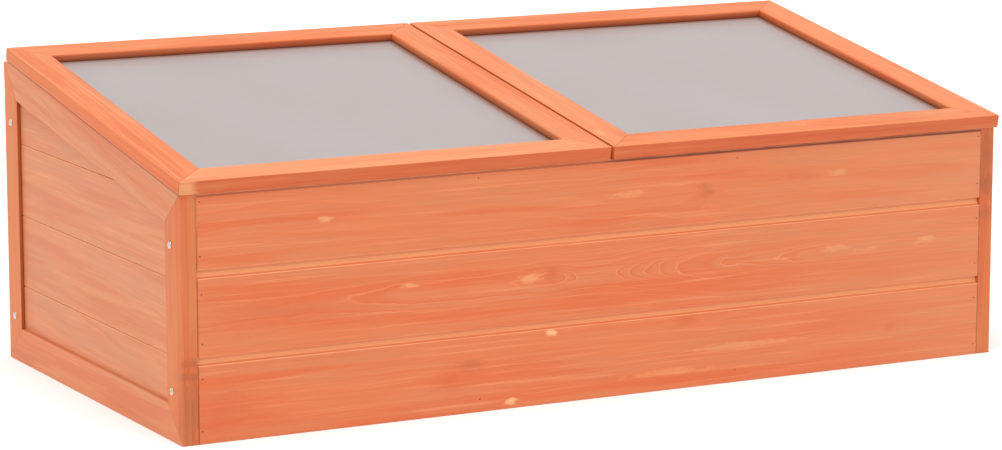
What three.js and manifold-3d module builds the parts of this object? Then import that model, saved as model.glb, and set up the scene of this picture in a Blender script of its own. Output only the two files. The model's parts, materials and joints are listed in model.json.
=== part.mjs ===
// A wooden cold frame: a bottomless box with a sloping rim, and two glazed lids hinged along its
// high back. Millimetres, +Z up. The origin is at the centre of the footprint, on the ground.
// The long side runs along X, and the low front faces -Y.
import * as THREE from "three";
import { mergeVertices } from "three/addons/utils/BufferGeometryUtils.js";
import Module from "manifold-3d";

// ---- Driving dimensions -------------------------------------------------------------------------

const overallWidth = 1100; // across both lids
const overallDepth = 555; // front edge of the lids to the back of the box
const overallHeight = 390; // ground to the top rear edge of the lids
const lidPitch = THREE.MathUtils.degToRad(9.4); // fall of the lids towards the front

const lidLength = 545; // front to rear, along the slope
const lidThickness = 16;
const lidMember = 43; // width of the lid frame's members
const lidGap = 4; // between the two lids
const lidRounding = 3; // radius on the inner top edges
const glazingThickness = 4;
const glazingInset = 2; // the sheet's underside above the lid's
const glazingBearing = 10; // width of the rebate that holds the sheet
const glazingPlay = 1; // the sheet is this much smaller than its rebate

const sideOverhang = 2; // lids beyond the box, left and right
const frontOverhang = 6; // lids beyond the box at the front

const sideThickness = 20;
const sideMember = 42; // width of the side frames' members
const sideRecess = 5; // face of the side boards behind the frame's face
const sideRebate = 10; // how far the side boards reach into the frame
const sideBoardThickness = 10;
const sideBoardCount = 4;
const sideFirstJoint = 96; // height of the lowest joint between side boards
const sideBoardPitch = 88.5;
const veeDepth = 1.2; // chamfer along each side board's long edges
const tongueThickness = 3;
const tongueLength = 5;

const wallBoardThickness = 12; // front and back boards
const wallBoardPitch = 99; // from one joint between front or back boards to the next
const coveHeight = 9; // hollow along the top of each lower board
const coveDepth = 5;
const lapHeight = 8; // tongue behind the board above

const backHeight = 371;
const hingeRail = { height: 34, depth: 20 };
const endBatten = { width: 20, depth: 30 };
const midBatten = { width: 30, depth: 20 };
const midBattenSpacing = 348; // between the centres of the two middle battens

const screwInset = 28; // screw centres behind the front face
const rearScrewInset = 22; // screw centres ahead of the back face
const screwHeights = { front: [58, 225], rear: [56, 298] };
const screw = { headRadius: 4.5, headHeight: 1.7, shankRadius: 1.9, length: 40 };
const screwHoleRadius = 2.5;

const hinge = { length: 40, leafWidth: 11.5, leafThickness: 1.2, knuckleRadius: 2.5 };
const pinRadius = 1.1;
const pinBoreRadius = 1.5;
const hingeSpacing = 388; // between the two hinges of one lid

const clearance = 0.3; // between touching pieces
const arcSteps = 5;
const roundSides = 12;
const cutterReach = 2500; // longer than the whole object

// ---- Worked out from them -----------------------------------------------------------------------

const bodyWidth = overallWidth - 2 * sideOverhang;
const innerWidth = bodyWidth - 2 * sideThickness;
const frontY = -overallDepth / 2 + frontOverhang;
const backY = overallDepth / 2;
const bodyDepth = backY - frontY;
const lidWidth = (overallWidth - lidGap) / 2;

// The lower rear edge of a closed lid, and the height of the box's rim under the lids.
const lidRearY =
  -overallDepth / 2 + lidLength * Math.cos(lidPitch) + lidThickness * Math.sin(lidPitch);
const lidRearZ = overallHeight - lidThickness * Math.cos(lidPitch);
const rimZ = (y) =>
  lidRearZ + (y - lidRearY) * Math.tan(lidPitch) - clearance / Math.cos(lidPitch);
const frontHeight = rimZ(frontY);

// The hinge pins: the knuckles lie on the back rail and touch the lids' rear ends.
const pinZ = backHeight + clearance + hinge.knuckleRadius;
const pinRise = pinZ - lidRearZ;
const lidEndOffset = hinge.knuckleRadius + clearance;
const pinY = lidRearY + (lidEndOffset - pinRise * Math.sin(lidPitch)) / Math.cos(lidPitch);
const lidUndersideDrop =
  pinRise * Math.cos(lidPitch) - (pinY - lidRearY) * Math.sin(lidPitch);

// ---- Materials ----------------------------------------------------------------------------------

const stainedFir = new THREE.MeshStandardMaterial({ color: 0xe0895c, roughness: 0.6 });
const stainedFirBoard = new THREE.MeshStandardMaterial({ color: 0xe08f62, roughness: 0.65 });
const twinWallSheet = new THREE.MeshStandardMaterial({
  color: 0xcbc2be,
  roughness: 0.35,
  transparent: true,
  opacity: 0.6,
});
const zincPlate = new THREE.MeshStandardMaterial({
  color: 0xb9bcbf,
  roughness: 0.35,
  metalness: 1,
});

// ---- Solids -------------------------------------------------------------------------------------

const wasm = await Module();
wasm.setup();

function solidOf(geometry) {
  const bare = geometry.clone();
  bare.deleteAttribute("normal");
  bare.deleteAttribute("uv");
  const merged = mergeVertices(bare, 1e-4);
  const mesh = new wasm.Mesh({
    numProp: 3,
    vertProperties: merged.attributes.position.array,
    triVerts: new Uint32Array(merged.index.array),
  });
  return new wasm.Manifold(mesh);
}

function geometryOf(solid) {
  const mesh = solid.getMesh();
  const geometry = new THREE.BufferGeometry();
  geometry.setAttribute("position", new THREE.BufferAttribute(mesh.vertProperties, 3));
  geometry.setIndex(new THREE.BufferAttribute(mesh.triVerts, 1));
  geometry.computeVertexNormals();
  return geometry;
}

function cut(geometry, tools) {
  let solid = solidOf(geometry);
  for (const tool of tools) solid = solid.subtract(solidOf(tool));
  return geometryOf(solid);
}

function join(geometries) {
  return geometryOf(geometries.map(solidOf).reduce((whole, piece) => whole.add(piece)));
}

function named(name, geometry, material) {
  const mesh = new THREE.Mesh(geometry, material);
  mesh.name = name;
  return mesh;
}

function outline(points) {
  return new THREE.Shape(points.map(([x, y]) => new THREE.Vector2(x, y)));
}

// A bar along X from a section drawn as (inwards, across). Each end is cut along the bisector of
// the corner it makes with the next bar; a corner of a half turn is a square end.
function bar(section, length, startCorner = Math.PI, endCorner = Math.PI) {
  const geometry = new THREE.ExtrudeGeometry(section, {
    depth: 1,
    bevelEnabled: false,
    curveSegments: arcSteps,
  });
  const startLean = 1 / Math.tan(startCorner / 2);
  const endLean = 1 / Math.tan(endCorner / 2);
  const startSetback = clearance / 2 / Math.sin(startCorner / 2);
  const endSetback = clearance / 2 / Math.sin(endCorner / 2);
  const position = geometry.attributes.position;
  for (let i = 0; i < position.count; i += 1) {
    const inwards = position.getX(i);
    const across = position.getY(i);
    const start = startSetback + inwards * startLean;
    const end = length - endSetback - inwards * endLean;
    position.setXYZ(i, THREE.MathUtils.lerp(start, end, position.getZ(i)), inwards, across);
  }
  return geometry;
}

// Mitred bars round a convex outline given anticlockwise. Returns the placed geometries.
function mitredFrame(corners, section) {
  const points = corners.map(([x, y]) => new THREE.Vector2(x, y));
  const count = points.length;
  const edges = points.map((point, i) => points[(i + 1) % count].clone().sub(point));
  const cornerAngle = (i) => {
    const before = edges[(i + count - 1) % count].clone().negate();
    return Math.abs(before.angleTo(edges[i % count]));
  };
  return edges.map((edge, i) => {
    const geometry = bar(section, edge.length(), cornerAngle(i), cornerAngle(i + 1));
    return geometry.rotateZ(edge.angle()).translate(points[i].x, points[i].y, 0);
  });
}

// A group whose X runs along the given direction, whose Y is up and whose Z is square to both.
function upright(direction, x, y, z) {
  const group = new THREE.Group();
  const up = new THREE.Vector3(0, 0, 1);
  const across = direction.clone().cross(up);
  group.quaternion.setFromRotationMatrix(new THREE.Matrix4().makeBasis(direction, up, across));
  group.position.set(x, y, z);
  return group;
}

function block(x, y, z, width, height, depth) {
  const geometry = new THREE.BoxGeometry(width, height, depth);
  return geometry.translate(x + width / 2, y + height / 2, z + depth / 2);
}

// ---- Side panels: a mitred frame round tongued and grooved boards -----------------------------------

// Cuts away everything above the rim, at the given distance below it, in a side's plane.
function aboveRim(drop) {
  const cutter = new THREE.BoxGeometry(cutterReach, cutterReach, 4 * sideThickness);
  cutter.translate(0, cutterReach / 2 - drop, 0).rotateZ(lidPitch);
  return cutter.translate(0, frontHeight, 0);
}

function sideFrameSection() {
  const shoulder = sideMember - sideRebate;
  return outline([
    [0, 0],
    [sideMember, 0],
    [sideMember, sideRecess],
    [shoulder, sideRecess],
    [shoulder, sideThickness],
    [0, sideThickness],
  ]);
}

function sideBoardSection(height, grooved) {
  const middle = sideBoardThickness / 2;
  const half = tongueThickness / 2;
  const wide = half + clearance;
  const deep = tongueLength + clearance;
  const groove = [
    [0, middle - wide],
    [deep, middle - wide],
    [deep, middle + wide],
    [0, middle + wide],
  ];
  return outline([
    [veeDepth, 0],
    [0, veeDepth],
    ...(grooved ? groove : []),
    [0, sideBoardThickness],
    [height, sideBoardThickness],
    [height, middle + half],
    [height + tongueLength, middle + half],
    [height + tongueLength, middle - half],
    [height, middle - half],
    [height, veeDepth],
    [height - veeDepth, 0],
  ]);
}

function screwPlaces() {
  return [
    ["front_lower", screwInset, screwHeights.front[0]],
    ["front_upper", screwInset, screwHeights.front[1]],
    ["rear_lower", bodyDepth - rearScrewInset, screwHeights.rear[0]],
    ["rear_upper", bodyDepth - rearScrewInset, screwHeights.rear[1]],
  ];
}

// A hole along Z, centred on the origin's plane.
function drill(x, y, length) {
  const hole = new THREE.CylinderGeometry(screwHoleRadius, screwHoleRadius, length, roundSides);
  return hole.rotateX(Math.PI / 2).translate(x, y, 0);
}

function sideFrame(name) {
  const corners = [
    [0, 0],
    [bodyDepth, 0],
    [bodyDepth, rimZ(backY)],
    [0, frontHeight],
  ];
  const parts = ["bottom_rail", "rear_stile", "top_rail", "front_stile"];
  const level = block(0, backHeight, -sideThickness, cutterReach, cutterReach, 3 * sideThickness);
  const holes = screwPlaces().map(([, x, y]) => drill(x, y, 3 * sideThickness));
  return mitredFrame(corners, sideFrameSection()).map((member, i) =>
    named(`${name}_${parts[i]}`, cut(member, [level, ...holes]), stainedFir),
  );
}

function sideBoards(name) {
  const start = sideMember - sideRebate + clearance;
  const length = bodyDepth - 2 * start;
  return Array.from({ length: sideBoardCount }, (_, i) => {
    const top = sideFirstJoint + i * sideBoardPitch;
    const bottom = i === 0 ? start : top - sideBoardPitch;
    const height = top - bottom - clearance;
    const board = bar(sideBoardSection(height, i > 0), length);
    board.translate(start, bottom, sideRecess + clearance);
    const trimmed = cut(board, [aboveRim(sideMember - sideRebate + clearance)]);
    return named(`${name}_board_${i + 1}`, trimmed, stainedFirBoard);
  });
}

function screwGeometry() {
  const profile = [new THREE.Vector2(0, -clearance - screw.headHeight)];
  for (let i = 1; i <= arcSteps; i += 1) {
    const turn = (i / arcSteps) * (Math.PI / 2);
    const radius = screw.headRadius * Math.sin(turn);
    const height = screw.headHeight * Math.cos(turn);
    profile.push(new THREE.Vector2(radius, -clearance - height));
  }
  profile.push(new THREE.Vector2(screw.shankRadius, -clearance));
  profile.push(new THREE.Vector2(screw.shankRadius, screw.length - 3 * screw.shankRadius));
  profile.push(new THREE.Vector2(0, screw.length));
  return new THREE.LatheGeometry(profile, roundSides).rotateX(Math.PI / 2);
}

function sideScrews(name) {
  return screwPlaces().map(([place, x, y]) => {
    const mesh = named(`${name}_${place}_screw`, screwGeometry(), zincPlate);
    mesh.position.set(x, y, 0);
    return mesh;
  });
}

function sidePanel(name) {
  const panel = upright(new THREE.Vector3(0, 1, 0), -bodyWidth / 2, frontY, 0);
  return panel.add(...sideFrame(name), ...sideBoards(name), ...sideScrews(name));
}

// ---- Front and back panels: lapped boards on upright battens ------------------------------------------

// The lip of each board covers the tongue of the one below, over a cove that throws a shadow line.
function wallBoardSection(height, lapsBelow, lappedAbove) {
  const shape = new THREE.Shape();
  const inside = coveDepth - clearance;
  shape.moveTo(0, 0);
  if (lapsBelow) {
    shape.lineTo(0, inside);
    shape.lineTo(lapHeight + clearance, inside);
    shape.lineTo(lapHeight + clearance, wallBoardThickness);
  } else {
    shape.lineTo(0, wallBoardThickness);
  }
  if (lappedAbove) {
    shape.lineTo(height + lapHeight, wallBoardThickness);
    shape.lineTo(height + lapHeight, coveDepth);
    shape.lineTo(height, coveDepth);
    shape.absellipse(height, 0, coveHeight, coveDepth, Math.PI / 2, Math.PI, false);
  } else {
    shape.lineTo(height, wallBoardThickness);
    shape.lineTo(height, 0);
  }
  return shape;
}

function wallBoards(name, wallHeight) {
  const count = Math.ceil(wallHeight / wallBoardPitch);
  return Array.from({ length: count }, (_, i) => {
    const bottom = i * wallBoardPitch;
    const last = i === count - 1;
    const height = last ? wallHeight - bottom : wallBoardPitch - clearance;
    const board = bar(wallBoardSection(height, i > 0, !last), innerWidth);
    board.translate(0, bottom, 0);
    return named(`${name}_board_${i + 1}`, board, stainedFirBoard);
  });
}

// Battens stand behind the boards; the end ones are drilled for the screws through the sides.
function wallBattens(name, height, holeHeights, holeInset, leftFirst) {
  const behind = wallBoardThickness + clearance;
  const middle = innerWidth / 2;
  const places = [
    ["end", 0, endBatten],
    ["mid", middle - midBattenSpacing / 2 - midBatten.width / 2, midBatten],
    ["mid", middle + midBattenSpacing / 2 - midBatten.width / 2, midBatten],
    ["end", innerWidth - endBatten.width, endBatten],
  ];
  const holes = holeHeights.map((y) =>
    rod(screwHoleRadius, cutterReach, 0).translate(0, y, holeInset),
  );
  return places.map(([kind, x, size], i) => {
    const hand = i < 2 === leftFirst ? "left" : "right";
    const side = clearance * (kind === "end" ? (i === 0 ? 1 : -1) : 0);
    const batten = block(x + side, 0, behind, size.width, height, size.depth);
    const geometry = kind === "end" ? cut(batten, holes) : batten;
    return named(`${name}_${hand}_${kind}_batten`, geometry, stainedFir);
  });
}

function frontPanel() {
  const panel = upright(new THREE.Vector3(-1, 0, 0), innerWidth / 2, frontY, 0);
  panel.add(...wallBoards("front", frontHeight));
  return panel.add(...wallBattens("front", frontHeight, screwHeights.front, screwInset, false));
}

function backPanel() {
  const panel = upright(new THREE.Vector3(1, 0, 0), -innerWidth / 2, backY, 0);
  const railBottom = backHeight - hingeRail.height;
  const rail = block(
    clearance, railBottom, wallBoardThickness + clearance,
    innerWidth - 2 * clearance, hingeRail.height, hingeRail.depth);
  panel.add(...wallBoards("back", backHeight), named("back_hinge_rail", rail, stainedFir));
  const battenHeight = railBottom - clearance;
  return panel.add(
    ...wallBattens("back", battenHeight, screwHeights.rear, rearScrewInset, true));
}

// ---- Lids: a mitred frame with a twin-wall sheet in a rebate underneath ------------------------------

function lidFrameSection() {
  const shoulder = lidMember - glazingBearing;
  const rebateDepth = glazingInset + glazingThickness + clearance;
  const shape = new THREE.Shape();
  shape.moveTo(0, 0);
  shape.lineTo(shoulder, 0);
  shape.lineTo(shoulder, rebateDepth);
  shape.lineTo(lidMember, rebateDepth);
  const inner = lidMember - lidRounding;
  shape.absarc(inner, lidThickness - lidRounding, lidRounding, 0, Math.PI / 2, false);
  shape.lineTo(0, lidThickness);
  return shape;
}

function lidFrame(name) {
  const parts = ["front_rail", "right_stile", "rear_rail", "left_stile"];
  const corners = [
    [-lidWidth / 2, -lidLength],
    [lidWidth / 2, -lidLength],
    [lidWidth / 2, 0],
    [-lidWidth / 2, 0],
  ];
  return mitredFrame(corners, lidFrameSection()).map((member, i) =>
    named(`${name}_lid_${parts[i]}`, member, stainedFir),
  );
}

function glazing(name) {
  const margin = 2 * (lidMember - glazingBearing) + glazingPlay;
  const width = lidWidth - margin;
  const length = lidLength - margin;
  const rear = -(lidLength + length) / 2;
  const sheet = block(-width / 2, rear, glazingInset, width, length, glazingThickness);
  return named(`${name}_lid_glazing`, sheet, twinWallSheet);
}

// ---- Hinges: two leaves rolled round a pin that is fixed in the outer knuckles ------------------------

// A leaf in its own plane: X along the pin, Y away from it. It is notched where the other turns.
function leafPlate(outerKnuckles) {
  const half = hinge.length / 2;
  const third = hinge.length / 6;
  const notch = hinge.knuckleRadius + clearance;
  const outer = outerKnuckles ? 0 : notch;
  const inner = outerKnuckles ? notch : 0;
  const edge = third + (outerKnuckles ? clearance : -clearance);
  const plate = new THREE.ExtrudeGeometry(
    outline([
      [-half, outer],
      [-edge, outer],
      [-edge, inner],
      [edge, inner],
      [edge, outer],
      [half, outer],
      [half, hinge.leafWidth],
      [-half, hinge.leafWidth],
    ]),
    { depth: hinge.leafThickness, bevelEnabled: false },
  );
  return plate.translate(0, 0, -hinge.knuckleRadius);
}

function rod(radius, length, x) {
  const geometry = new THREE.CylinderGeometry(radius, radius, length, roundSides);
  return geometry.rotateZ(Math.PI / 2).translate(x, 0, 0);
}

function fixedLeaf() {
  const third = hinge.length / 3;
  const knuckles = [-third, third].map((x) => {
    const shift = Math.sign(x) * clearance / 2;
    return rod(hinge.knuckleRadius, third - clearance, x + shift);
  });
  return join([leafPlate(true), ...knuckles, rod(pinRadius, hinge.length, 0)]);
}

function lidLeaf() {
  const knuckle = rod(hinge.knuckleRadius, hinge.length / 3 - 2 * clearance, 0);
  const solid = join([leafPlate(false), knuckle]);
  return cut(solid, [rod(pinBoreRadius, hinge.length, 0)]);
}

function hingePlaces(lidCentre) {
  return [
    ["left", lidCentre - hingeSpacing / 2],
    ["right", lidCentre + hingeSpacing / 2],
  ];
}

function fixedLeaves(name, lidCentre) {
  return hingePlaces(lidCentre).map(([hand, x]) => {
    const mesh = named(`${name}_lid_${hand}_hinge_fixed_leaf_and_pin`, fixedLeaf(), zincPlate);
    mesh.position.set(x, pinY, pinZ);
    return mesh;
  });
}

function lidLeaves(name) {
  return hingePlaces(0).map(([hand, x]) => {
    const stand = upright(new THREE.Vector3(-1, 0, 0), x, 0, 0);
    return stand.add(named(`${name}_lid_${hand}_hinge_lid_leaf`, lidLeaf(), zincPlate));
  });
}

// The lid hangs on its pins, so turning this group about X opens it.
function lid(name, centre) {
  const group = new THREE.Group();
  group.position.set(centre, pinY, pinZ);
  group.rotation.x = lidPitch;
  const panel = new THREE.Group();
  panel.position.set(0, -lidEndOffset, -lidUndersideDrop);
  panel.add(...lidFrame(name), glazing(name));
  return group.add(panel, ...lidLeaves(name));
}

// ---- The whole object ------------------------------------------------------------------------------

const coldFrame = new THREE.Group();
coldFrame.name = "cold_frame";
coldFrame.add(frontPanel(), backPanel(), sidePanel("left"));

const rightSide = new THREE.Group();
rightSide.scale.x = -1;
coldFrame.add(rightSide.add(sidePanel("right")));

for (const [name, sign] of [["left", -1], ["right", 1]]) {
  const centre = (sign * (lidWidth + lidGap)) / 2;
  coldFrame.add(lid(name, centre), ...fixedLeaves(name, centre));
}

export default coldFrame;
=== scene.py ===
import json
import math
import random

import bmesh
import bpy
from mathutils import Matrix, Vector

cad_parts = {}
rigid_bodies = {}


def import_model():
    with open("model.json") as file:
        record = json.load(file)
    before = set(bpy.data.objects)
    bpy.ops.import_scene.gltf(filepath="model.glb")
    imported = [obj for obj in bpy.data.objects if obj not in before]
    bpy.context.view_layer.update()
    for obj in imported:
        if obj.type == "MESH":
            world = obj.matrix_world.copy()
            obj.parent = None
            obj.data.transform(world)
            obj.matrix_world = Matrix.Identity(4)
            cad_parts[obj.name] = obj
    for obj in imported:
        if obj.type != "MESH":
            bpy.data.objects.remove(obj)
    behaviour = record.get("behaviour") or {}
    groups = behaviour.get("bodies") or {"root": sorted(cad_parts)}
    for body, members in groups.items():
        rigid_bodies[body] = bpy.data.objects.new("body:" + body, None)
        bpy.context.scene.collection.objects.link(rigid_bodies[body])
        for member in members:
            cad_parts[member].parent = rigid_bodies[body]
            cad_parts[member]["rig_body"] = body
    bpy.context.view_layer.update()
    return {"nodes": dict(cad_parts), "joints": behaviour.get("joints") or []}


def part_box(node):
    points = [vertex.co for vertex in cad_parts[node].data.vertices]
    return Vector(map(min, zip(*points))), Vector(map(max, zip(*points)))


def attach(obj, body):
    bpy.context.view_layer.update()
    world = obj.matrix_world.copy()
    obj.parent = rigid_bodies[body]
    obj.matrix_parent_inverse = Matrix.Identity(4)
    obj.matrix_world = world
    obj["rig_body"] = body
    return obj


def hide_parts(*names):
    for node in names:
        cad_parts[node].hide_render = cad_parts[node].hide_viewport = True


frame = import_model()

MM = 0.001
LID_PITCH = math.radians(9.4)
COVE_DEPTH = 5  # millimetres, behind the faces of the front and back boards

# ---- Directions ----

ACROSS = Vector((1, 0, 0))
BACKWARDS = Vector((0, 1, 0))
UP = Vector((0, 0, 1))
UP_THE_SLOPE = Vector((0, math.cos(LID_PITCH), math.sin(LID_PITCH)))
OUT_OF_THE_LID = Vector((0, -math.sin(LID_PITCH), math.cos(LID_PITCH)))
SIDES = {"left": -1, "right": 1}


def axes_of(grain, outward):
    """A turn whose X is the grain and whose Z is the outward direction."""
    return Matrix((grain, outward.cross(grain), outward)).transposed()


# ---- Colours, as they look in soft daylight ----


def colour(red, green, blue):
    """A colour given as display values from 0 to 255, made linear."""
    def linear(value):
        share = value / 255
        return share / 12.92 if share <= 0.04045 else ((share + 0.055) / 1.055) ** 2.4
    return (linear(red), linear(green), linear(blue), 1.0)


# Each stain's tones: its base, then where it is deep, tan and pale, and on end grain.
TONES = ("base", "deep", "tan", "pale", "edge")
STAIN_COLOURS = {
    "front": ((215, 119, 71), (213, 104, 56), (209, 122, 77), (231, 146, 100), (204, 110, 64)),
    # The side stain is paler and less saturated than the front one: painted sheen, standing in for the
    # brighter grazing reflection on the side faces.
    "side": ((218, 136, 90), (211, 121, 77), (208, 134, 91), (228, 152, 107), (206, 122, 76)),
    "frame": ((217, 131, 84), (210, 113, 66), (211, 138, 92), (230, 153, 108), (201, 112, 64)),
    "stile": ((217, 116, 55), (207, 99, 44), (208, 123, 62), (229, 138, 78), (196, 102, 52)),
    "lid": ((226, 124, 70), (218, 108, 54), (219, 132, 82), (238, 152, 104), (186, 90, 50)),
    "inside": ((206, 124, 78), (194, 104, 60), (200, 134, 90), (222, 156, 112), (198, 116, 72)),
}
STAINS = {
    name: {tone: colour(*values) for tone, values in zip(TONES, colours)}
    for name, colours in STAIN_COLOURS.items()
}
FADED = colour(210, 136, 94)
KNOT_PALE = colour(236, 176, 118)
KNOT_RED = colour(200, 92, 52)
KNOT_DARK = colour(160, 88, 54)
KNOT_BLACK = colour(118, 76, 36)
KNOT_BARE = colour(250, 208, 152)
# Dark colour for painted shade and shadow under the lids, at the back of the coves and on inner edge
# faces, and for the stain gathered at the board ends.
STAIN_AND_SHADE_DARK = colour(120, 52, 28)
# Painted light that lifts the shade in the coves and vees.
HOLLOW_FILL_LIGHT = colour(255, 174, 118)
# Pale colour for worn arrises, and for painted highlights on the arrises and on the lids' faces that
# see the sky.
WORN_AND_HIGHLIGHT_PALE = colour(240, 168, 122)
# Tints multiplied into the edge faces: on the lids they are painted shade that darkens the faces
# turned from the sky, and SIDE_EDGE shifts the side frames' edge faces a little from red towards blue.
FRONT_RAIL_EDGE_SHADE = (0.77, 0.56, 0.44, 1.0)
REAR_RAIL_EDGE_SHADE = (0.82, 0.68, 0.64, 1.0)
LEFT_STILE_EDGE_SHADE = (0.96, 0.78, 0.45, 1.0)
RIGHT_STILE_EDGE_SHADE = (0.93, 0.85, 0.75, 1.0)
SIDE_EDGE = (0.94, 0.92, 1.1, 1.0)

# ---- Node trees ----

SEED_STEPS = (7.3, 3.1, 5.7)  # how far a seed shifts a pattern along each axis


class Tree:
    """Builds a material's nodes. Each call adds one node and gives back its output."""

    def __init__(self, name):
        self.material = bpy.data.materials.new(name)
        self.material.use_nodes = True
        self.nodes = self.material.node_tree.nodes
        self.links = self.material.node_tree.links
        self.nodes.clear()
        output = self.nodes.new("ShaderNodeOutputMaterial")
        self.shader = self.nodes.new("ShaderNodeBsdfPrincipled")
        self.links.new(self.shader.outputs["BSDF"], output.inputs["Surface"])

    def put(self, socket, value):
        if isinstance(value, bpy.types.NodeSocket):
            self.links.new(value, socket)
        else:
            socket.default_value = value

    def math(self, operation, *values):
        node = self.nodes.new("ShaderNodeMath")
        node.operation = operation
        for socket, value in zip(node.inputs, values):
            self.put(socket, value)
        return node.outputs[0]

    def scaled(self, value, factor, plus):
        """The value times a factor, plus another value."""
        return self.math("MULTIPLY_ADD", value, factor, plus)

    def product(self, *values):
        result = values[0]
        for value in values[1:]:
            result = self.math("MULTIPLY", result, value)
        return result

    def vector(self, operation, *values):
        node = self.nodes.new("ShaderNodeVectorMath")
        node.operation = operation
        for socket, value in zip(node.inputs, values):
            self.put(socket, value)
        return node.outputs[0]

    def split(self, vector):
        node = self.nodes.new("ShaderNodeSeparateXYZ")
        self.put(node.inputs[0], vector)
        return node.outputs

    def coordinates(self, kind):
        return self.nodes.new("ShaderNodeTexCoord").outputs[kind]

    def millimetres(self):
        """The piece's own coordinates in millimetres."""
        scaled = self.vector("SCALE", self.coordinates("Object"))
        scaled.node.inputs["Scale"].default_value = 1 / MM
        return scaled

    def attribute(self, name):
        node = self.nodes.new("ShaderNodeAttribute")
        node.attribute_name = name
        return node.outputs["Fac"]

    def noise(self, vector, detail=2.0, roughness=0.5):
        node = self.nodes.new("ShaderNodeTexNoise")
        node.inputs["Scale"].default_value = 1.0
        node.inputs["Detail"].default_value = detail
        node.inputs["Roughness"].default_value = roughness
        self.put(node.inputs["Vector"], vector)
        return node.outputs["Fac"]

    def noise_along(self, value, detail=1.0):
        node = self.nodes.new("ShaderNodeTexNoise")
        node.noise_dimensions = "1D"
        node.inputs["Scale"].default_value = 1.0
        node.inputs["Detail"].default_value = detail
        self.put(node.inputs["W"], value)
        return node.outputs["Fac"]

    def stretched(self, vector, sizes, seed):
        """Coordinates in which a pattern's features have these sizes, shifted by a seed."""
        scale = tuple(1 / size for size in sizes)
        shift = tuple(seed * step for step in SEED_STEPS)
        return self.vector("MULTIPLY_ADD", vector, scale, shift)

    def remap(self, value, start, end, low=0.0, high=1.0, smooth=True):
        """Runs from low to high while the value goes from start to end, and stays there."""
        node = self.nodes.new("ShaderNodeMapRange")
        node.interpolation_type = "SMOOTHSTEP" if smooth else "LINEAR"
        for name, number in (
            ("Value", value), ("From Min", start), ("From Max", end),
            ("To Min", low), ("To Max", high),
        ):
            self.put(node.inputs[name], number)
        return node.outputs["Result"]

    def mix(self, share, first, second, blend="MIX"):
        node = self.nodes.new("ShaderNodeMix")
        node.data_type = "RGBA"
        node.blend_type = blend
        node.clamp_factor = True
        self.put(node.inputs["Factor"], share)
        colours = [s for s in node.inputs if s.type == "RGBA"]
        self.put(colours[0], first)
        self.put(colours[1], second)
        return [s for s in node.outputs if s.type == "RGBA"][0]

    def bump(self, height, strength, distance):
        node = self.nodes.new("ShaderNodeBump")
        node.inputs["Strength"].default_value = strength
        node.inputs["Distance"].default_value = distance
        self.put(node.inputs["Height"], height)
        return node.outputs["Normal"]

    def finish(self, **values):
        for name, value in values.items():
            self.put(self.shader.inputs[name.replace("_", " ")], value)
        return self.material


# ---- Stained fir ----

# How strongly a knot of each kind tints the wood round it and in its middle, and its colour.
KNOT_KINDS = {
    "pale": (0.18, 0.5, KNOT_PALE),
    "red": (0.25, 0.4, KNOT_RED),
    "dark": (0.25, 0.32, KNOT_DARK),
    "black": (0.25, 0.32, KNOT_BLACK),
    "bare": (0.15, 0.6, KNOT_BARE),
    "patch": (0.5, 0.25, KNOT_RED),  # stain only, with no knot that bends the rings
    "soft": (0.12, 0.3, KNOT_PALE),
}
WOOD_DEFAULTS = {
    "stain": "front",
    "pith": (0.0, -60.0),  # where the tree's centre runs, across and behind the face, in millimetres
    "lean": 0.03,  # how fast it comes nearer along the grain
    "ring": 3.4,  # mean width of a year's ring
    "wander": 8.0,  # slow waves of the grain, either way
    "figure": 0.6,  # how strongly the rings show
    # Places along and across are shares of the piece's half length and half width, from -1 to 1.
    "knots": (),  # (along, across, half length, half width, kind), the last two sizes in millimetres
    "flames": (),  # stretches where the rings climb to the face: (from, to, how many rings)
    "streaks": 0.55,  # how strongly the strands take up more or less stain
    "tone": 0.0,  # lighter or darker than the stain's own colour
    "washed": 0.0,  # painted highlight: how far all but the edge faces are paled towards the worn colour
    "fade": 0.0,  # how much paler the wood gets towards the end of the grain
    "edge": None,  # a tint for the edge faces, painted shade on the lids
    "bare_end": 0.0,  # length of a pale patch on the edge faces, from the start of the grain
    "recess_shade": None,  # painted shade on an inner edge face: (hand, depth at which it is darkest)
    "hollow": None,  # painted light that lifts the shade in a cove or vee: (colour, share, depth where it starts, and where it is full)
    "lip": 0.0,  # painted shadow: a deeper line just inside a cove's lip
    "rim": None,  # painted shadow line under a lid: (hand, reach, share at the grain's start, share at its end)
    "dark_ends": 0.0,  # stain gathered where the ends meet the corner posts
    "arris": 0.3,  # how pale the arrises are, worn and in part a painted highlight
    "upper_arris": 0.3,  # the same on the far side across the grain, where the boards' higher share is a painted highlight
    "low_arris": 1.0,  # how much of that shows on the arrises away from the seen face
}

# Sizes of the wood's patterns in millimetres: along the grain, across it and into the wood.
SLOW_WAVES = (260, 55, 55)
QUICK_WAVES = (38, 11, 11)
CLEAR_STRETCHES = (170, 34, 34)
FIBRES = (60, 0.8, 0.8)
STRANDS = (150, 4.2, 4.2)
BLOTCHES = (170, 34, 34)
FLOWS = (330, 20, 20)
SMUDGES = (14, 4, 4)
SCUFFS = (22, 5, 5)

# A year's ring in shares of its width: it darkens slowly and ends in a thin pale line.
DARKENING = (0.25, 0.82)
PALE_LINE = (0.8, 0.9)
RING_END = (0.86, 0.99)
RING_UNEVENNESS = 2.4
QUICK_WAVE_HEIGHT = 0.9
FLAME_WIDTH = (26, 8)  # from the tree's centre to where a flame starts, and where it is full
FLAME_STRENGTH = 0.75

# Distances from a knot's middle, in the knot's own half sizes.
KNOT_BEND_REACH = (0.3, 5.0)
KNOT_HALO = (0.8, 2.8)
KNOT_CORE = (0.3, 1.3)
KNOT_BEND = 0.28  # how far the rings bend round it, in its half widths
KNOT_SMUDGE = 1.3
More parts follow.
